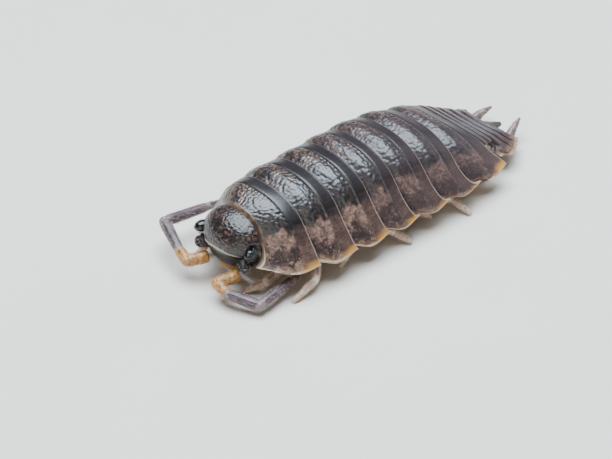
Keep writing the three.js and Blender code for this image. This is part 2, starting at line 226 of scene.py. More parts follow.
def headFinish(paint=headPaint):
    f = Finish("head", Coat_Roughness=0.3, Coat_IOR=1.5, Specular_IOR_Level=0.25)
    fine, worms, face = f.noise(*paint["fine"]), f.noise(*paint["worms"]), f.field("face")
    base = f.mix(worms.smooth(0.52, 0.6) * 0.75, f.mix(fine, *paint["skull"]), f.mix(fine, *paint["flecks"]))
    # painted shade: near black where the bead grain is low, between the beads and below the beaded crown
    base = f.mix(f.field("grain").below(0.02, 0.3) * 0.5, base, paint["gapShade"])
    base = f.mix(face, base, f.mix(worms.smooth(0.45, 0.6), *paint["face"]))
    base = f.mix(f.field("ridge"), base, f.mix(fine, *paint["frontLine"]))
    base = f.mix(f.field("lobe"), base, f.mix(fine.smooth(0.52, 0.6), *paint["lobe"]))
    base = f.mix(f.field("mouth"), base, f.mix(fine, *paint["mouth"]))
    return f.wear(Base_Color=base, Roughness=0.3 + 0.16 * fine + 0.2 * face, Coat_Weight=0.7 - 0.6 * face,
                  Normal=f.bump(0.5 * f.noise(*paint["pores"]) + 0.5 * fine, paint["poreDepth"]))


def eyeFinish():
    f = Finish("eye", Coat_Weight=0.6, Coat_Roughness=0.12, Specular_IOR_Level=0.3)
    base = f.mix(f.noise(0.1), "#010202", "#07090c")
    return f.wear(Base_Color=base, Roughness=0.2 + 0.12 * f.noise(0.05))


limbPaint = {
    "feeler": dict(root=("#6b3d14", "#c08a45"), shaft=("#2f2327", "#6b575f"), joint="#bfaba0", clear=0.3),
    "leg": dict(root=("#b3937f", "#d9c4ae"), shaft=("#93705e", "#d3bba6"), joint="#ece0cf", clear=0.3),
    "tail_fork": dict(root=("#765d5a", "#a08a86"), shaft=("#57443f", "#8d7773"), joint="#b39c86", clear=0.15),
}


def limbFinish(name):
    paint = limbPaint[name]
    f = Finish(name, Coat_Weight=0.3, Coat_Roughness=0.3, Subsurface_Weight=paint["clear"],
               Subsurface_Radius=(0.0009, 0.0006, 0.0004))
    fine = f.noise(0.09, 4, 0.6)
    streaks = f.streaks(f.field("around") * 5, f.field("reach") * 2.5)
    base = f.mix(streaks.smooth(0.3, 0.7), *paint["shaft"])
    base = f.mix(f.field("base"), base, f.mix((0.6 * fine + 0.4 * streaks).smooth(0.34, 0.6), *paint["root"]))
    base = f.mix(f.field("joint") * (0.75 - 0.6 * f.field("base")), base, paint["joint"])
    ribs = f.bump(streaks * 0.7 + fine * 0.3, 0.014)
    return f.wear(Base_Color=base, Roughness=0.36 + 0.2 * fine, Normal=ribs)


def gillFinish():
    f = Finish("gill", Subsurface_Weight=0.2, Subsurface_Radius=(0.0006, 0.0004, 0.0003))
    fine = f.noise(0.3, 4)
    base = f.mix(fine, "#a8957c", "#e4dac6")
    return f.wear(Base_Color=base, Roughness=0.4 + 0.2 * fine, Normal=f.bump(fine, 0.03))


def bristleFinish():
    f = Finish("bristles")
    tint = f.noise(0.4)
    return f.wear(Base_Color=f.mix(tint, "#9b836c", "#e6dac8"), Roughness=0.4 + 0.2 * tint)


# Meshes from arrays of points, in mm.

def makePiece(name, points, faces, material, slot, nodes, fields=None):
    mesh = bpy.data.meshes.new(name)
    mesh.from_pydata((np.asarray(points) * mm).tolist(), [], [list(map(int, q)) for q in faces])
    mesh.validate()
    for key, values in (fields or {}).items():
        layer = mesh.attributes.new(key, "FLOAT", "POINT")
        layer.data.foreach_set("value", np.asarray(values, np.float32))
    for polygon in mesh.polygons:
        polygon.use_smooth = True
    mesh.materials.append(material)
    piece = bpy.data.objects.new(name, mesh)
    bpy.context.collection.objects.link(piece)
    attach(piece, "root")
    if nodes:
        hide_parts(*nodes)
    return piece


def gridFaces(rows, columns):  # each row is a closed loop
    r, c = np.meshgrid(np.arange(rows - 1), np.arange(columns), indexing="ij")
    r, c = r.ravel(), c.ravel()
    n = (c + 1) % columns
    return np.stack([r * columns + c, r * columns + n, (r + 1) * columns + n, (r + 1) * columns + c], 1)


def tubeFaces(rows, columns):  # the grid's faces and a cap at each end
    last = (rows - 1) * columns
    caps = [list(range(columns))[::-1], [last + k for k in range(columns)]]
    return gridFaces(rows, columns).tolist() + caps


def smoothstep(low, high, t):
    s = np.clip((t - low) / (high - low), 0, 1)
    return s * s * (3 - 2 * s)


def ridgeAt(centre, width, t):  # a soft hump of height 1
    return np.exp(-((t - centre) / width) ** 2)


def lengths(vectors):
    return np.linalg.norm(vectors, axis=-1)


def normalsOf(p):  # of a grid of points
    n = np.cross(np.gradient(p, axis=0), np.gradient(p, axis=1))
    return n / np.maximum(lengths(n)[..., None], 1e-9)


# The body's envelope: heights and half widths at stations measured back from ahead of the head.

body = dict(
    middle=7.8, gap=0.12, archPower=2.67, flare=0.05, flareFrom=0.6, hollowRise=0.75,
    y=[1.85, 2.5, 3.3, 5.0, 7.8, 9.2, 10.8, 12.33, 13.5, 14.5],
    half=[1.66, 2.42, 2.78, 2.89, 2.98, 3.03, 3.0, 2.73, 2.14, 1.42],
    crown=[3.12, 3.33, 3.44, 3.45, 3.37, 3.22, 2.8, 2.12, 1.5, 1.0],
    margin=[1.5, 1.26, 1.12, 1.0, 1.0, 1.0, 0.97, 0.88, 0.68, 0.52],
    belly=[1.25, 1.2, 1.18, 1.18, 1.18, 1.18, 1.15, 1.0, 0.78, 0.55],
    sweep=[-0.72, -0.42, 0, 0.17, 0.47, 0.6, 0.74, 0.8, 0.72, 0.6],
    trunk=[1.45, 1.66, 1.49, 1.34, 1.45, 1.56, 1.53],
    tail=[0.37, 0.37, 0.44, 0.46, 0.48],
)


def along(column, y):  # smooth curve through the stations
    ys, vs = np.array(body["y"]), np.array(body[column], float)
    slopes = np.empty_like(vs)
    slopes[1:-1] = (vs[2:] - vs[:-2]) / (ys[2:] - ys[:-2])
    slopes[0] = (vs[1] - vs[0]) / (ys[1] - ys[0])
    slopes[-1] = (vs[-1] - vs[-2]) / (ys[-1] - ys[-2])
    y = np.asarray(y, float)
    i = np.clip(np.searchsorted(ys, y, side="right") - 1, 0, len(ys) - 2)
    span = ys[i + 1] - ys[i]
    t = (y - ys[i]) / span
    return ((2 * t**3 - 3 * t**2 + 1) * vs[i] + (t**3 - 2 * t**2 + t) * span * slopes[i]
            + (-2 * t**3 + 3 * t**2) * vs[i + 1] + (t**3 - t**2) * span * slopes[i + 1])


# How far back a ring sweeps, as a share of its station's sweep: a is 0 at the middle and 1 at the margin.

def trunkSweep(a, f=0):
    return (2 / np.pi * np.arcsin(np.clip(a, 0, 1))) ** 4.2


def tailSweep(a, f=0):
    return a**2.2


def lastSweep(a, f):  # the last trunk ring passes from one to the other
    return trunkSweep(a) + (tailSweep(a) - trunkSweep(a)) * smoothstep(0.2, 1, f)


def trunkInset(narrowing):  # the side plate is drawn in at its front and bulges behind it
    def inset(f):
        bulge = 0.06 * np.sin(np.pi * np.clip((f - 0.15) / 0.85, 0, 1))
        return narrowing * (1 - smoothstep(0.12, 0.5, f)) - bulge
    return inset


def tailInset(f):
    return 0.05 * (1 - smoothstep(0.2, 0.6, f))


# Trunk and tail rings.

trunkRing = dict(reach=1, drawnIn=1, lobe=0, tuck=0.22, tuckLength=0.34, lip=0.12, lipLength=0.34, rise=0.34,
                 plateEdge=0.22, droop=0.14, sweep=trunkSweep, columns=240, rows=64, grain=1.0, swell=0.05,
                 hump=0.012, rimBulge=0.03, narrowing=0.08, lastLip=0.16, seed=11, greyStep=0.09, greyFrom=3,
                 droopFrom=(0.55, 0.95), lobeFrom=(0.8, 0.9))
tailRing = dict(trunkRing, tuck=0.24, tuckLength=0.12, lip=0.1, lipLength=0.12, rise=0.5, droop=0,
                sweep=tailSweep, inset=tailInset, columns=160, rows=26, grain=0.0, seed=31, grey=0.85,
                hiddenReach=0.7, hiddenDrawnIn=0.6, frontLobe=0.3)
relief = dict(bead=0.13, beadRadius=0.085, beadHeight=0.022, rowAt=0.585, rowWidth=0.035, rowSpacing=0.19,
              rowHeight=0.024, grooveAt=0.66, grooveWidth=0.03, grooveDepth=0.022, trimFrom=(0.95, 0.98),
              trimHeight=0.012, rimFrom=(0.05, 0.16), rimHeight=0.018, halfGirth=4.3)


def beads(s, v, seed):  # rounded tubercles on a jittered grid
    spacing, tiles = relief["bead"], 64
    table = np.random.default_rng(seed).uniform(0.1, 0.9, (tiles, tiles, 3))
    cs, cv = np.floor(s / spacing).astype(int), np.floor(v / spacing).astype(int)
    height = np.zeros_like(s)
    for ds in (-1, 0, 1):
        for dv in (-1, 0, 1):
            t = table[(cs + ds) % tiles, (cv + dv) % tiles]
            d = np.hypot(s - (cs + ds + t[..., 0]) * spacing, v - (cv + dv + t[..., 1]) * spacing)
            r = relief["beadRadius"] * (0.75 + 0.5 * t[..., 2])
            height = np.maximum(height, np.clip(1 - (d / r) ** 2, 0, 1) ** 0.8 * (0.7 + 0.4 * t[..., 2]))
    return height


def ringPoint(ring, u, f, depth):  # the plate's arch drawn in by a depth
    a, y = np.abs(u), ring["start"] + ring["length"] * f
    half = along("half", y) - ring["inset"](f) - ring["drawnIn"] * np.maximum(0, depth)
    sweep = along("sweep", y)
    swept = sweep * ring["sweep"](a, f)
    phase = (y + swept - sweep - ring["front"]) / (ring["rear"] - ring["front"])
    droop = ring["droop"] * smoothstep(*ring["droopFrom"], a)
    margin = along("margin", y) - droop * np.sin(np.pi * phase) ** 2
    flared = np.clip((a - body["flareFrom"]) / (1 - body["flareFrom"]), 0, 1)
    flare = body["flare"] * np.sin(np.pi * flared) ** 2
    z = margin + (along("crown", y) - depth - margin) * (1 - a ** body["archPower"] - flare)
    lobe = ring["lobe"] * smoothstep(*ring["lobeFrom"], a) * (1 - f)
    return np.stack([half * u, y + swept - lobe - body["middle"], z], -1)


def marginDistance(ring, outer, far):  # from each point of the plate to its free side margin
    if ring["reach"] < 1:
        return np.ones(outer.shape[:2])
    walked = np.cumsum(lengths(np.diff(outer, axis=0, prepend=outer[:1])), 0)
    edge = np.minimum(walked, walked[-1] - walked)
    if ring["tuckLength"] == 0:  # the first plate's front edge is free as well
        walkedBack = np.cumsum(lengths(np.diff(outer, axis=1, prepend=outer[:, :1])), 1)
        edge = np.minimum(edge, 2.2 * walkedBack + 0.14 * (1 - smoothstep(0.45, 0.9, far)))
    return edge


def ringPiece(name, ring, material):
    ring = dict(ring, start=ring["front"] - ring["tuckLength"],
                length=ring["rear"] - ring["front"] + ring["tuckLength"])
    length, columns, rows = ring["length"], ring["columns"], ring["rows"]
    covered = ring["tuckLength"] / length  # share of the length under the plate ahead
    root = 1 - (ring["lipLength"] + body["gap"]) / length  # where the rear lip leaves the body

    def depth(f):
        shown = np.clip((f - covered) / (1 - covered), 0, 1)
        risen = smoothstep(covered, min(covered + ring["rise"], root), f)
        hump = ring["grain"] * ring["hump"] * ridgeAt(0.4, 0.2, shown)
        swell = ring["swell"] * np.sin(np.pi * shown) + hump
        return ring["tuck"] * (1 - risen) - swell

    columnTurns = np.linspace(-1, 1, columns) * (2 / np.pi * math.asin(ring["reach"]))
    turns, shares = np.meshgrid(columnTurns, np.linspace(0, 1, rows), indexing="ij")
    across = np.sin(np.pi / 2 * turns)
    side, far = across[:, :1], np.abs(turns)
    shown = np.clip((shares - covered) / (1 - covered), 0, 1)
    outer = ringPoint(ring, across, shares, depth(shares))

    s = turns * relief["halfGirth"]
    grain = beads(s, shares * length, ring["seed"])
    grain = grain * (1 - smoothstep(0.54, 0.63, shown)) * smoothstep(0.0, 0.12, shown)
    beadRow = 0.5 + 0.5 * np.cos(2 * np.pi * s / relief["rowSpacing"] + np.sin(3 * s))
    beadRow *= ridgeAt(relief["rowAt"], relief["rowWidth"], shown)
    groove = ridgeAt(relief["grooveAt"], relief["grooveWidth"], shown) * (1 - smoothstep(0.6, 0.9, far))
    edge = marginDistance(ring, outer, far)
    bumps = relief["beadHeight"] * grain + relief["rowHeight"] * beadRow
    bumps *= 1 - 0.6 * smoothstep(0.5, 0.7, far)  # lower on the side plates
    height = ring["grain"] * (bumps - relief["grooveDepth"] * groove)
    height += relief["trimHeight"] * smoothstep(*relief["trimFrom"], shown)
    height += relief["rimHeight"] * (1 - smoothstep(*relief["rimFrom"], edge))
    outer += normalsOf(outer) * height[..., None]

    lipRows = []
    for angle in np.pi * np.array((0.25, 0.5, 0.75, 1.0)):  # rounded rear rim
        p = ringPoint(ring, side, 1.0, depth(1.0) + ring["lip"] * (1 - math.cos(angle)) / 2)
        p[..., 1] += ring["rimBulge"] * math.sin(angle)
        lipRows.append(p)
    inner = [ringPoint(ring, side, f, depth(f) + ring["lip"]) for f in np.linspace(1, root, 6)[1:]]

    def underneath(f):
        p = ringPoint(ring, side, f, depth(f) + ring["plateEdge"])
        belly = along("belly", ring["front"] + (ring["rear"] - ring["front"]) * f)
        p[..., 2] = np.minimum(p[..., 2], belly + body["hollowRise"] * smoothstep(0.52, 0.85, np.abs(side)))
        return p

    loops = np.concatenate([outer, *lipRows, *inner, *[underneath(f) for f in np.linspace(root, 0, 8)]], 1)
    n = loops.shape[1]

    def padded(grid, value):  # the outer face's values, then one value for the rest of the loop
        return np.concatenate([grid, np.full((columns, n - rows), value)], 1).ravel()

    fields = {
        "across": np.repeat(turns[:, 0], n),
        "along": padded(shown if ring["reach"] == 1 else shown * 0.99, 1.0),
        "under": np.tile(np.arange(n) > rows + 1, columns),
        "edge": padded(edge, 1.0),
        "grain": padded(grain + 0.9 * beadRow, 0.0),
        "grey": np.full(columns * n, ring["grey"]),
    }
    return makePiece(name, loops.reshape(-1, 3), tubeFaces(columns, n), material, "shell", [name], fields)


shell = shellFinish()
rear = body["y"][0]
for i, size in enumerate(body["trunk"]):
    front, rear = rear, rear + size
    ring = dict(trunkRing, front=front, rear=rear, inset=trunkInset(trunkRing["narrowing"] if i else 0.0))
    ring.update(seed=trunkRing["seed"] + i, grey=trunkRing["greyStep"] * i * (i >= trunkRing["greyFrom"]))
    if i == 0:  # nothing lies ahead of the first ring
        ring.update(tuck=0, tuckLength=0)
    if i == len(body["trunk"]) - 1:
        ring.update(lipLength=trunkRing["lastLip"], sweep=lastSweep)
    ringPiece(f"trunk_ring_{i + 1}", ring, shell)
for i, size in enumerate(body["tail"]):
    front, rear = rear, rear + size
    ring = dict(tailRing, front=front, rear=rear, seed=tailRing["seed"] + i)
    if i < 2:  # these end under the last trunk ring
        ring.update(reach=tailRing["hiddenReach"], drawnIn=tailRing["hiddenDrawnIn"])
    if i == 2:  # this one reaches forward at its sides
        ring.update(lobe=tailRing["frontLobe"])
    ringPiece(f"tail_ring_{i + 1}", ring, shell)
print("rings made")


# Head: the union, seen from its heart, of rounded forms given as centre and radii.

head = dict(
    heart=(0, 1.22, 1.8),
    forms=dict(
        skull=((0, 1.7, 2.02), (1.46, 1.12, 1.06)), face=((0, 1.5, 1.45), (1.2, 0.78, 0.5)),
        brow=((0, 0.84, 1.86), (0.72, 0.26, 0.2)), lobeLeft=((1.2, 0.95, 1.46), (0.27, 0.3, 0.26)),
        lobeRight=((-1.2, 0.95, 1.46), (0.27, 0.3, 0.26)), mouth=((0, 1.35, 1.02), (0.62, 0.46, 0.36))),
    blend=20, behind=0.13, columns=300, rows=200, seed=5, grainHeight=0.016,
    frontLine=1.86, frontLineHeight=0.03, frontLineWidth=0.02, frontLineExtra=0.03,
    lobe=(1.28, 1.4), lobeSize=(0.2, 0.22), faceTop=(1.74, 1.86), mouthTop=(1.0, 1.2),
    eye=(1.33, 1.12, 1.98), eyeSize=(0.22, 0.33, 0.23), eyeTurn=18, socket=0.06, socketRim=(0.945, 0.985),
    facet=0.04, facetRows=5, facetColumns=9, facetsFrom=(34, -84), facetSteps=(25, 21),
)


def exitLength(d, centre, radii):  # from the heart to the form's far side
    r = np.array(radii)
    dn, o = d / r, (np.array(head["heart"]) - np.array(centre)) / r
    a, b, c = (dn * dn).sum(-1), dn @ o, o @ o - 1
    root = b * b - a * c
    return np.where(root > 0, np.maximum(0, (np.sqrt(np.maximum(root, 0)) - b) / a), 0)


def headPiece():
    columns, rows, blend = head["columns"], head["rows"], head["blend"]
    polar, turn = np.linspace(0, np.pi, rows), np.linspace(0, 2 * np.pi, columns, endpoint=False)
    polar, turn = np.meshgrid(polar, turn, indexing="ij")
    # the poles are at the sides
    d = np.stack([np.cos(polar), np.sin(polar) * np.sin(turn), np.sin(polar) * np.cos(turn)], -1)
    reaches = np.stack([exitLength(d, *form) for form in head["forms"].values()])
    reach = (reaches**blend).sum(0) ** (1 / blend)
    heart = np.array(head["heart"])
    for sign in (1, -1):
        toEye = np.array(head["eye"]) * (sign, 1, 1) - heart
        far = np.linalg.norm(toEye)
        inSocket = smoothstep(*head["socketRim"], d @ (toEye / far))
        reach += (np.minimum(reach, far - head["socket"]) - reach) * inSocket
    for _ in range(6):  # the hind side follows the first plate's front
        u = np.clip(np.abs(d[..., 0] * reach) / body["half"][0], 0, 1)
        wall = body["y"][0] + body["sweep"][0] * trunkSweep(u) - head["behind"] - 0.18 * u**3
        limit = np.maximum(0.2, (wall - heart[1]) / np.maximum(d[..., 1], 1e-6))
        reach = np.where(d[..., 1] > 0, np.minimum(reach, limit), reach)
    p = heart + d * reach[..., None]
    x, y, z = p[..., 0], p[..., 1], p[..., 2]
    grain = beads(x + 5, y * 1.2 + z + 5, head["seed"]) * smoothstep(1.85, 2.1, z)
    front = (y < 1.2) * (1 - smoothstep(0.75, 1.1, np.abs(x)))
    lineWidth = head["frontLineWidth"] + head["frontLineExtra"] * ridgeAt(0, 0.5, x)  # wider in the middle
    ridge = ridgeAt(head["frontLine"] + 0.1 * np.cos(2.2 * x), lineWidth, z) * front
    p = p + d * (head["grainHeight"] * grain + head["frontLineHeight"] * ridge)[..., None]
    (lobeX, lobeZ), (lobeWidth, lobeHeight) = head["lobe"], head["lobeSize"]
    fields = {
        "grain": grain, "ridge": ridge * 0.85,
        "face": (1 - smoothstep(*head["faceTop"], z)) * (1 - ridge),
        "lobe": ridgeAt(lobeX, lobeWidth, np.abs(x)) * ridgeAt(lobeZ, lobeHeight, z) * (y < 1.1),
        "mouth": 1 - smoothstep(*head["mouthTop"], z),
    }
    p[..., 1] -= body["middle"]
    return makePiece("head", p.reshape(-1, 3), gridFaces(rows, columns), headFinish(), "head", ["head"],
                     {key: values.ravel() for key, values in fields.items()})


def ball(centre, radii, sides=24, rows=16):
    polar, turn = np.linspace(0.02, np.pi - 0.02, rows), np.linspace(0, 2 * np.pi, sides, endpoint=False)
    polar, turn = np.meshgrid(polar, turn, indexing="ij")
    p = np.stack([np.sin(polar) * np.cos(turn), np.sin(polar) * np.sin(turn), np.cos(polar)], -1)
    return (p * radii + np.array(centre)).reshape(-1, 3), tubeFaces(rows, sides)


def gather(parts):
    points, faces, base = [], [], 0
    for p, q in parts:
        points.append(p)
        faces += [[k + base for k in face] for face in q]
        base += len(p)
    return np.concatenate(points), faces


def eyePiece(side, sign, material):
    size = np.array(head["eyeSize"]) * 0.93  # the facets stand out to the full size
    parts = [ball((0, 0, 0), size, 40, 26)]
    (polarFrom, turnFrom), (polarStep, turnStep) = head["facetsFrom"], head["facetSteps"]
    for row in range(head["facetRows"]):
        for k in range(head["facetColumns"]):  # every other row is set half a step on
            polar = math.radians(polarFrom + polarStep * row)
            turn = math.radians(turnFrom + turnStep * (k + 0.5 * (row % 2)))
            level = math.sin(polar)
            n = np.array([level * math.cos(turn), level * math.sin(turn), math.cos(polar)])
            parts.append(ball(n * size, [head["facet"]] * 3, 12, 8))
    p, faces = gather(parts)
    p[:, 0] *= sign
    if sign < 0:
        faces = [face[::-1] for face in faces]
    a = math.radians(sign * head["eyeTurn"])
    turned = p @ np.array([[math.cos(a), math.sin(a), 0], [-math.sin(a), math.cos(a), 0], [0, 0, 1]])
    turned += np.array([sign * head["eye"][0], head["eye"][1] - body["middle"], head["eye"][2]])
    return makePiece(f"eye_{side}", turned, faces, material, "eye", [f"eye_{side}"])


headPiece()
eyeBlack = eyeFinish()
eyePiece("left", 1, eyeBlack)
eyePiece("right", -1, eyeBlack)
print("head made")


# Limbs: chains of club-shaped articles, each a place for every joint and a radius there.

club = dict(
    share=[-0.02, 0, 0.02, 0.05, 0.1, 0.2, 0.35, 0.5, 0.65, 0.8, 0.9, 0.95, 0.98, 1.0, 1.02],
    swell=[0.3, 0.6, 0.76, 0.86, 0.93, 0.98, 1.0, 1.02, 1.03, 1.03, 1.02, 0.97, 0.88, 0.7, 0.35],
    sides=28, ribs=0.035, jointFade=0.035, knuckle=0.93,
)
bristle = dict(length=(0.06, 0.13), rootRadius=0.006, midRadius=0.005, sides=4, bow=0.1, patch=0.003)
bristleSpots = {}  # roots, ways and map places of the bristles of each kind of limb


def sideways(axis):
    side = np.cross(axis, (0, 0, 1))
    return side / np.linalg.norm(side)


def article(a, b, r0, r1, ribs):
    sides = club["sides"]
    axis = (b - a) / np.linalg.norm(b - a)
    side = sideways(axis)
    other = np.cross(axis, side)
    s, swell = np.array(club["share"]), np.array(club["swell"])
    angle = np.linspace(0, 2 * np.pi, sides, endpoint=False)
    r = ((r0 + (r1 - r0) * s) * swell)[:, None] * (1 + ribs * np.cos(6 * angle))
    ring = np.cos(angle)[:, None] * side + np.sin(angle)[:, None] * other
    p = a + (b - a) * s[:, None, None] + ring[None] * r[..., None]
    p[..., 2] = np.maximum(p[..., 2], 0)
    joint = np.maximum(np.exp(-np.abs(s) / club["jointFade"]), np.exp(-np.abs(1 - s) / club["jointFade"]))
    around = np.tile(np.cos(angle) + np.sin(2 * angle), len(s))
    return p.reshape(-1, 3), tubeFaces(len(s), sides), np.repeat(joint, sides), around, np.repeat(s, sides)


def growBristles(name, slot, a, b, r0, r1, perMm, k, count):
    axis = (b - a) / np.linalg.norm(b - a)
    side = sideways(axis)
    for _ in range(int(perMm * np.linalg.norm(b - a))):
        t, turn = rng.uniform(0.03, 0.97), rng.uniform(0, 2 * np.pi)
        out = side * math.cos(turn) + np.cross(axis, side) * math.sin(turn)
        root = a + (b - a) * t + out * (r0 + (r1 - r0) * t) * 0.97
        if root[2] > 0.02:
            way, place = out + axis * rng.uniform(0.6, 1.3), (turn / (2 * np.pi), (k + t) / count)
            bristleSpots.setdefault(slot, []).append((name, root, way, place))


def limbPiece(name, places, radii, material, slot, baseCount=0, bristlesFrom=1, perMm=60):
    parts, fields = [], {"joint": [], "around": [], "reach": [], "base": []}
    places = [np.array(q, float) - (0, body["middle"], 0) for q in places]
    count = len(places) - 1
    for k in range(count):
        a, b = places[k:k + 2]
        isBase = k < baseCount
        p, faces, joint, around, s = article(a, b, radii[k], radii[k + 1], 0.0 if isBase else club["ribs"])
        parts.append((p, faces))
        if k > 0:  # a rounded knuckle hides the gap at a bend
            q, knuckle = ball(a, [radii[k] * club["knuckle"]] * 3, 20, 14)
            q[:, 2] = np.maximum(q[:, 2], 0)
            parts.append((q, knuckle))
            joint = np.append(joint, np.full(len(q), 0.35))
            around = np.append(around, np.full(len(q), 0.3))
            s = np.append(s, np.zeros(len(q)))
        fields["joint"].append(joint)
        fields["around"].append(around)
        fields["reach"].append(s + k)
        fields["base"].append(np.full(len(s), isBase))
        if k >= bristlesFrom:
            growBristles(name, slot, a, b, radii[k], radii[k + 1], perMm, k, count)
    p, faces = gather(parts)
    fields = {key: np.concatenate(values).astype(float) for key, values in fields.items()}
    return makePiece(name, p, faces, material, slot, [name], fields)


feelers = dict(
    left=[(0.86, 0.94, 0.94), (0.7, 0.55, 0.86), (0.46, 0.16, 0.74), (1.1, 0.1, 0.62), (2.3, 0.62, 0.4),
          (2.1, 2.5, 0.54), (1.9, 3.15, 0.56)],
    right=[(-0.86, 0.94, 0.94), (-1.06, 0.56, 0.9), (-1.26, 0.2, 0.88), (-1.85, 0.36, 0.98),
           (-3.4, 0.98, 1.22), (-3.22, 3.0, 1.0), (-3.24, 4.0, 0.82)],
    radii=[0.25, 0.25, 0.24, 0.2, 0.225, 0.17, 0.04],
)
feelerSkin = limbFinish("feeler")
for side in ("left", "right"):
    limbPiece(f"feeler_{side}", feelers[side], feelers["radii"], feelerSkin, "feeler", baseCount=3, perMm=110)

# knee and foot of each leg, out and back from its hip
legs = dict(
    left=[((0.35, -0.7), (-0.4, -1.5)), ((1.42, -0.8), (1.4, -2.15)), ((0.9, -0.3), (1.05, -1.0)),
          ((1.1, 0.1), (1.8, 0.6)), ((0.9, 0.35), (1.15, 0.85)), ((1.1, 0.3), (2.05, 0.6)),
          ((0.6, 0.55), (0.75, 1.3))],
    right=[((0.75, -0.55), (0.8, -1.3)), ((1.0, -0.5), (1.4, -1.1)), ((1.0, -0.25), (1.5, -0.7)),
           ((1.05, 0.1), (1.7, 0.3)), ((1.0, 0.3), (1.6, 0.8)), ((0.95, 0.4), (1.4, 1.1)),
           ((0.65, 0.55), (0.9, 1.4))],
    spread=1.25, radii=[0.24, 0.24, 0.22, 0.18, 0.14, 0.09],
    hipHeight=0.72, kneeHeight=0.56, lastKneeHeight=0.42, ankleHeight=0.26, footHeight=0.07,
    thighShare=0.62, shinShares=(0.2, 0.65), kneeBend=0.06,
)


def legPlaces(i, side, sign, y):
    (kneeOut, kneeBack), (footOut, footBack) = legs[side][i]
    knee = legs["kneeHeight"] if i < len(legs[side]) - 1 else legs["lastKneeHeight"]
    thigh, bend, (upper, lower) = legs["thighShare"], legs["kneeBend"], legs["shinShares"]

    def at(out, back, z):
        return (sign * (legs["spread"] + out), y + back, z)

    def shin(share, z):
        return at(kneeOut + (footOut - kneeOut) * share, kneeBack + (footBack - kneeBack) * share, z)

    return [at(0, 0, along("belly", y) - 0.02), at(0.1, 0, legs["hipHeight"]),
            at(kneeOut * thigh, kneeBack * thigh, knee + bend), shin(upper, knee - bend),
            shin(lower, legs["ankleHeight"]), shin(1, legs["footHeight"])]


legSkin = limbFinish("leg")
hip = body["y"][0]
for i, size in enumerate(body["trunk"]):
    for side, sign in (("left", 1), ("right", -1)):
        places = legPlaces(i, side, sign, hip + size / 2)
        limbPiece(f"leg_{side}_{i + 1}", places, legs["radii"], legSkin, "leg", bristlesFrom=2)
    hip += size
print("limbs made")


# Tail plate, forks and gill covers.

tail = dict(front=14.55, half=0.7, tipHalf=0.06, length=1.0, height=0.86, tip=0.42, rise=0.26, tipRise=0.08,
            thickness=0.2, groove=0.05, columns=60, rows=50)


def tailPlate():
    columns, rows = tail["columns"], tail["rows"]
    f = np.linspace(0, 1, rows)[:, None]
    u = np.linspace(-1, 1, columns)[None]
    back = u[:, ::-1]
    half = tail["half"] + (tail["tipHalf"] - tail["half"]) * f**0.62
    crown = tail["height"] + (tail["tip"] - tail["height"]) * f
    rise = tail["rise"] + (tail["tipRise"] - tail["rise"]) * f
    y = tail["front"] + tail["length"] * f + 0 * u
    groove = tail["groove"] * ridgeAt(0, 0.3, u) * smoothstep(0.25, 0.7, f)
    top = np.stack([half * u, y, crown - rise * u**2 - groove], -1)
    thickness = tail["thickness"] * (1 - 0.6 * np.abs(back) ** 3)
    bottom = np.stack([half * back, y, crown - rise * back**2 - thickness], -1)
    p = np.concatenate([top, bottom], 1)
    p[..., 1] -= body["middle"]
    n = 2 * columns
    whole = np.ones((rows, n))
    across = np.concatenate([0.35 + 0.5 * np.abs(u) ** 4] * 2, 1)
    under = np.repeat([[0.0, 1.0]], columns, 1)
    fields = {"across": across * whole, "along": (0.2 + 0.4 * f) * whole, "under": under * whole,
              "grey": tailRing["grey"] * whole, "edge": whole, "grain": whole}
    makePiece("tail_plate", p.reshape(-1, 3), tubeFaces(rows, n), shell, "shell", ["tail_plate"],
              {key: values.ravel() for key, values in fields.items()})


tailPlate()
forks = dict(out=[0.94, 0.96, 0.88, 0.78], y=[14.7, 15.02, 15.4, 15.85], z=[0.21, 0.34, 0.5, 0.62],
             liftShare=[0, 0, 0.5, 1], lift=dict(left=0.2, right=0.0), radii=[0.19, 0.2, 0.15, 0.04])
forkSkin = limbFinish("tail_fork")
for side, sign in (("left", 1), ("right", -1)):
    lift = forks["lift"][side]
    places = [(sign * out, y, z + lift * share)
              for out, y, z, share in zip(forks["out"], forks["y"], forks["z"], forks["liftShare"])]
    limbPiece(f"tail_fork_{side}", places, forks["radii"], forkSkin, "tail_fork")

gills = dict(pairs=5, front=12.5, spacing=0.36, size=(0.52, 0.34, 0.07), tilt=0.25, out=0.44, below=0.3,
             narrowing=0.05, closing=0.03, dropping=0.015)


def gillCovers():
    parts = []
    for i in range(gills["pairs"]):
        for sign in (1, -1):
            y = gills["front"] + gills["spacing"] * i
            width, depth, thickness = gills["size"]
            p, faces = ball((0, 0, 0), (width - gills["narrowing"] * i, depth, thickness), 32, 18)
            p[:, 2] -= gills["tilt"] * p[:, 1]
            height = along("belly", y) - gills["below"] - gills["dropping"] * i
            p += (sign * (gills["out"] - gills["closing"] * i), y - body["middle"], height)
            parts.append((p, faces))
    makePiece("gill_covers", *gather(parts), gillFinish(), "gill", ["gill_covers"])


gillCovers()
print("tail made")


# Bristles: a fine pale cone each, joined to one mesh for each kind of limb, each a small patch of the map.

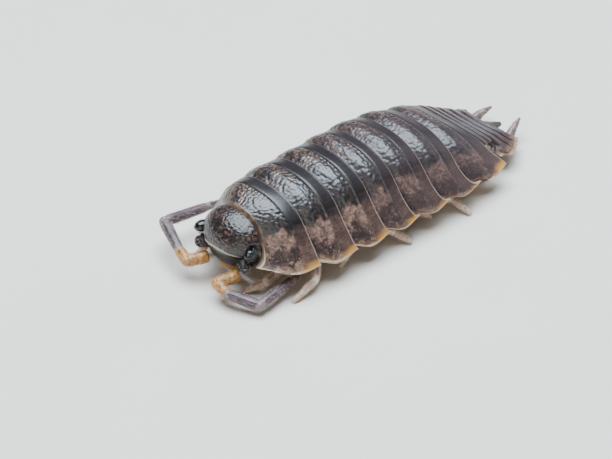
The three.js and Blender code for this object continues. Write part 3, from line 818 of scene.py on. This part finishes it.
def bristlePiece(slot, spots, material):
    sides, names = bristle["sides"], sorted({spot[0] for spot in spots})
    turn = np.linspace(0, 2 * np.pi, sides, endpoint=False)
    fall = np.array((0, 0, bristle["bow"]))
    points, faces, places = [], [], []
    for name, root, way, (u, v) in spots:
        way = way / np.linalg.norm(way)
        across = np.cross(way, (0.3, 0.2, 0.93))
        across /= np.linalg.norm(across)
        other, length = np.cross(way, across), rng.uniform(*bristle["length"])
        base = len(points)
        for share, radius in ((-0.25, bristle["rootRadius"]), (0.5, bristle["midRadius"])):
            heart = root + way * length * share - fall * length * share**2
            points += [heart + radius * (math.cos(t) * across + math.sin(t) * other) for t in turn]
        points.append(root + way * length - fall * length)
        for k in range(sides):
            n = (k + 1) % sides
            faces.append([base + k, base + n, base + sides + n, base + sides + k])
            faces.append([base + sides + k, base + sides + n, base + 2 * sides])
        faces.append([base + k for k in range(sides)][::-1])
        place = np.array(((names.index(name) + 0.05 + 0.9 * u) / len(names), 0.02 + 0.95 * v))
        for k in range(2 * sides + 1):
            places.append(place + bristle["patch"] * np.array(((k % sides) / sides, k // sides / 2)))
    points = np.array(points)
    points[:, 2] = np.maximum(points[:, 2], 0.002)
    piece = makePiece(f"{slot}_bristles", points, faces, material, slot, [])
    layer, places = piece.data.uv_layers.new(name="OFBake"), np.array(places)
    corners = np.empty(len(piece.data.loops), np.int32)
    piece.data.loops.foreach_get("vertex_index", corners)
    layer.data.foreach_set("uv", places[corners].astype(np.float32).ravel())


bristleSkin = bristleFinish()
for slot, spots in bristleSpots.items():
    bristlePiece(slot, spots, bristleSkin)
print("bristles made", sum(len(spots) for spots in bristleSpots.values()))


# Floor, light and camera. The camera turns about a pivot in the animal, in mm and in the photograph's pixels.

view = dict(azimuth=48.4, elevation=35.22, roll=-2.19, pixelsPerMm=26.24, pivotX=341.95, pivotY=193.31,
            width=612, height=459, distance=150, pivot=(0, 7.0, 1.2), sensor=36)
lamps = dict(
    sky=dict(place=(-0.012, 0.0, 0.12), size=0.13, watts=0.6, tint=(0.77, 0.885, 1.0)),
    front=dict(place=(0.1, -0.14, 0.05), size=0.12, watts=0.07, tint=(1.0, 0.94, 0.88)),
    side=dict(place=(0.02, 0.14, 0.05), size=0.1, watts=0.03, tint=(1.0, 0.97, 0.93)),
)
room = dict(floorColours=("#d9d1c6", "#e0d9cf"), floorReach=3.0, floorDrop=0.00001,
            sky=(0.9, 0.92, 0.95, 1), skyLight=0.16)


def addCamera():
    a, e, roll = (math.radians(view[key]) for key in ("azimuth", "elevation", "roll"))
    right = Vector((math.cos(a), math.sin(a), 0))
    up = Vector((-math.sin(a) * math.sin(e), math.cos(a) * math.sin(e), math.cos(e)))
    back = Vector((math.sin(a) * math.cos(e), -math.cos(a) * math.cos(e), math.sin(e)))
    tiltedRight = math.cos(roll) * right + math.sin(roll) * up
    tiltedUp = math.cos(roll) * up - math.sin(roll) * right
    place = Vector(view["pivot"]) - Vector((0, body["middle"], 0)) + back * view["distance"]
    place -= tiltedRight * (view["pivotX"] - view["width"] / 2) / view["pixelsPerMm"]
    place += tiltedUp * (view["pivotY"] - view["height"] / 2) / view["pixelsPerMm"]
    camera = bpy.data.objects.new("camera", bpy.data.cameras.new("camera"))
    camera.data.lens = view["sensor"] * view["distance"] * view["pixelsPerMm"] / view["width"]
    camera.data.sensor_width = view["sensor"]
    camera.data.clip_start, camera.data.clip_end = 0.005, 10
    turned = Matrix((tiltedRight, tiltedUp, back)).transposed().to_4x4()
    camera.matrix_world = Matrix.Translation(place * mm) @ turned
    bpy.context.collection.objects.link(camera)
    bpy.context.scene.camera = camera


def addFloor():
    floorMesh = bpy.data.meshes.new("floor")
    r, z = room["floorReach"], -room["floorDrop"]
    floorMesh.from_pydata([(-r, -r, z), (r, -r, z), (r, r, z), (-r, r, z)], [], [(0, 1, 2, 3)])
    floor = bpy.data.objects.new("floor", floorMesh)
    f = Finish("floor", Roughness=0.7)
    floorMesh.materials.append(f.wear(Base_Color=f.mix(f.noise(6.0), *room["floorColours"])))
    bpy.context.collection.objects.link(floor)


def addLamps():
    for name, settings in lamps.items():
        lamp = bpy.data.lights.new(name, "AREA")
        lamp.shape, lamp.size = "DISK", settings["size"]
        lamp.energy, lamp.color = settings["watts"], settings["tint"]
        thing = bpy.data.objects.new(name, lamp)
        thing.location = settings["place"]
        thing.rotation_euler = (-Vector(settings["place"])).to_track_quat("-Z", "Y").to_euler()
        bpy.context.collection.objects.link(thing)
    world = bpy.data.worlds.new("studio")
    world.use_nodes = True
    sky = world.node_tree.nodes["Background"]
    sky.inputs["Color"].default_value, sky.inputs["Strength"].default_value = room["sky"], room["skyLight"]
    bpy.context.scene.world = world


addCamera()
addFloor()
addLamps()
print("scene ready")
